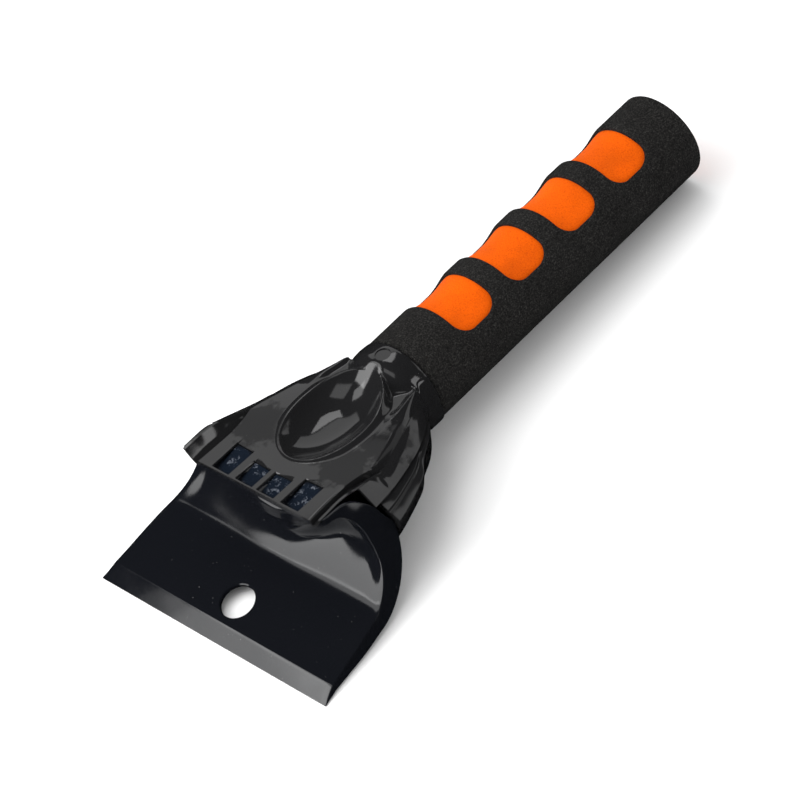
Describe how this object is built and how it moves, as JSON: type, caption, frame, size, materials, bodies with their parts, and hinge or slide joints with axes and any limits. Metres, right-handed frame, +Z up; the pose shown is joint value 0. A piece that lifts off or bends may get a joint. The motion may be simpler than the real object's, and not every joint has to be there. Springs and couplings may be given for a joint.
{
  "type": "windshield ice scraper",
  "caption": "Hand ice scraper with a scoop-shaped gloss blade, a moulded head with a thumb dish, and a round two-colour foam grip with finger grooves.",
  "frame": {"origin": "under the middle of the box, on the surface that the scraper lies on: its scraping edge and its butt touch that surface", "axes": "+X along the handle from the scraping edge to the butt, +Z up, away from the surface it lies on, +Y to the left, across the blade; the tool is symmetric about the XZ plane but for its finger grooves"},
  "size_m": [0.2414, 0.105, 0.0405],
  "materials": {
    "blade_plastic": "polished blue-black moulding",
    "head_plastic": "gloss black moulding",
    "screw_steel": "zinc plated",
    "tube_plastic": "matt moulding",
    "foam_orange": "soft closed-cell foam, matt",
    "foam_black": "soft closed-cell foam, matt"
  },
  "bodies": {
    "root": {"blade": "blade_plastic", "head_top_shell": "head_plastic", "head_bottom_shell": "head_plastic", "shell_screws": "screw_steel", "handle_tube": "tube_plastic", "end_plug": "tube_plastic", "grip_foam_inner": "foam_orange", "grip_foam_outer": "foam_black"}
  },
  "joints": []
}
